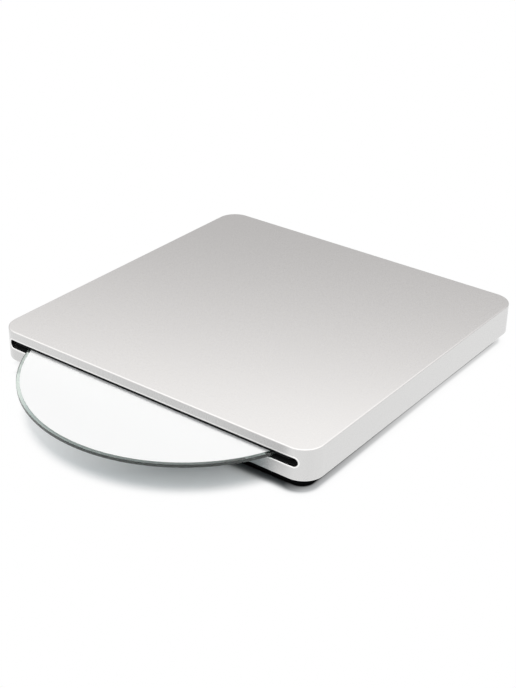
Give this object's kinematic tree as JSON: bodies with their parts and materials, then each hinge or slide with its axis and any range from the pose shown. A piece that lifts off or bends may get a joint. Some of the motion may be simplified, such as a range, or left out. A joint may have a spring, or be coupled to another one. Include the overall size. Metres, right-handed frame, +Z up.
{
  "type": "external dvd drive",
  "caption": "Flat square silver external disc drive with rounded corners, a front slot that draws a disc in, a black inset base and a rear cable port; inside is a slot-loading mechanism.",
  "frame": {"origin": "middle of the case's footprint, on the desk plane under the rubber pad", "axes": "+Z up; the disc slot faces -Y, so +Y runs from the slot to the back of the case; +X is to the right when facing the slot"},
  "size_m": [0.139, 0.1749, 0.017],
  "materials": {
    "silver_shell": "fine bead-blasted, satin silver",
    "black_base": "matte black",
    "pad_rubber": "matte",
    "screw_steel": "dark plated",
    "black_felt": "short pile",
    "foam": "open-cell foam",
    "usb_metal": "tin plated",
    "black_plastic": "moulded",
    "board": "solder mask",
    "chip": "moulded",
    "sheet_steel": "zinc-plated sheet",
    "white_plastic": "natural acetal",
    "grey_plastic": "moulded",
    "pin_steel": "ground",
    "motor_can": "drawn can",
    "damper_rubber": "soft",
    "copper": "enamelled wire",
    "disc_white": "white printable face on clear plastic",
    "arm_steel": "stamped",
    "worm_brass": "turned",
    "rotor_metal": "drawn",
    "magnet": "bonded ferrite",
    "lens_glass": "coated"
  },
  "bodies": {
    "case": {"top_shell": "silver_shell", "base_pan": "black_base", "rubber_pad": "pad_rubber", "case_screws": "screw_steel", "slot_felt_upper": "black_felt", "slot_felt_lower": "black_felt", "foam_pads": "foam", "usb_shell": "usb_metal", "usb_tongue": "black_plastic", "bridge_board": "board", "bridge_chip": "chip", "sata_plug": "black_plastic", "sata_socket": "black_plastic", "drive_pan": "sheet_steel", "drive_cover": "sheet_steel", "drive_screws": "screw_steel", "main_board": "board", "controller_chip": "chip", "driver_chip": "chip", "ffc_socket": "white_plastic", "side_guide_left": "grey_plastic", "side_guide_right": "grey_plastic", "slider_posts": "pin_steel", "eject_pivot": "pin_steel", "loading_pivot": "pin_steel", "gear_pins": "pin_steel", "load_motor": "motor_can", "motor_bracket": "sheet_steel", "traverse_frame": "grey_plastic", "dampers": "damper_rubber", "traverse_screws": "screw_steel", "spindle_base": "sheet_steel", "stator": "copper", "guide_rod_main": "pin_steel", "guide_rod_sub": "pin_steel", "sled_motor": "motor_can"},
    "disc_body": {"disc": "disc_white"},
    "eject_lever": {"eject_arm": "arm_steel", "eject_holder": "white_plastic"},
    "loading_lever": {"loading_arm": "arm_steel", "loading_holder": "white_plastic"},
    "slider": {"cam_slider": "white_plastic"},
    "rack_gear_body": {"rack_gear": "white_plastic"},
    "worm_gear_body": {"worm_gear": "white_plastic"},
    "worm_shaft": {"worm": "worm_brass"},
    "rotor": {"turntable": "rotor_metal", "rotor_magnet": "magnet", "turntable_pad": "damper_rubber", "clamp_claws": "white_plastic"},
    "sled": {"pickup_carriage": "grey_plastic", "sled_nut": "white_plastic"},
    "lens_mover": {"lens_holder": "black_plastic", "objective_lens": "lens_glass"},
    "screw_shaft": {"lead_screw": "pin_steel"}
  },
  "joints": [
    {"name": "disc_slide", "type": "slide", "parent": "case", "child": "disc_body", "axis": [0, 1, 0], "range_m": [0, 0.0404]},
    {"name": "eject_arm_swing", "type": "hinge", "parent": "case", "child": "eject_lever", "pos_m": [0.045, 0.0366, 0.0101], "axis": [0, 0, 1], "range_deg": [-50.96, 0]},
    {"name": "loading_arm_swing", "type": "hinge", "parent": "case", "child": "loading_lever", "pos_m": [0.03465, -0.05969, 0.0101], "axis": [0, 0, 1], "range_deg": [0, 54.44]},
    {"name": "cam_slide", "type": "slide", "parent": "case", "child": "slider", "axis": [0, 1, 0], "range_m": [0, 0.00801]},
    {"name": "rack_gear_spin", "type": "hinge", "parent": "case", "child": "rack_gear_body", "pos_m": [0.04535, 0, 0.00724], "axis": [0, 0, 1], "range_deg": [-127.39, 0]},
    {"name": "worm_gear_spin", "type": "hinge", "parent": "case", "child": "worm_gear_body", "pos_m": [0.0493, 0.01027, 0.00724], "axis": [0, 0, 1], "range_deg": [0, 339.7]},
    {"name": "worm_spin", "type": "hinge", "parent": "case", "child": "worm_shaft", "pos_m": [0.0569, 0.01027, 0.0079], "axis": [0, 1, 0], "range_deg": [-8152.81, 0]},
    {"name": "turntable_spin", "type": "hinge", "parent": "case", "child": "rotor", "pos_m": [0, -0.005, 0.00824], "axis": [0, 0, 1], "continuous": true},
    {"name": "sled_slide", "type": "slide", "parent": "case", "child": "sled", "axis": [-0.7071, 0.7071, 0], "range_m": [0, 0.034]},
    {"name": "lead_screw_spin", "type": "hinge", "parent": "case", "child": "screw_shaft", "pos_m": [-0.01308, -0.01808, 0.0082], "axis": [-0.7071, 0.7071, 0], "range_deg": [-4082.04, 0]},
    {"name": "lens_focus", "type": "slide", "parent": "sled", "child": "lens_mover", "axis": [0, 0, 1], "range_m": [-0.0003, 0.0003], "stiffness_N_per_m": 60}
  ],
  "couplings": [
    {"joint": "eject_arm_swing", "follows": "disc_slide", "rad_per_m": -21.993},
    {"joint": "loading_arm_swing", "follows": "disc_slide", "rad_per_m": 23.497},
    {"joint": "cam_slide", "follows": "disc_slide", "ratio": 0.19802},
    {"joint": "rack_gear_spin", "follows": "disc_slide", "rad_per_m": -55.006},
    {"joint": "worm_gear_spin", "follows": "disc_slide", "rad_per_m": 146.68},
    {"joint": "worm_spin", "follows": "disc_slide", "rad_per_m": -3520.4},
    {"joint": "lead_screw_spin", "follows": "sled_slide", "rad_per_m": -2094.4}
  ]
}
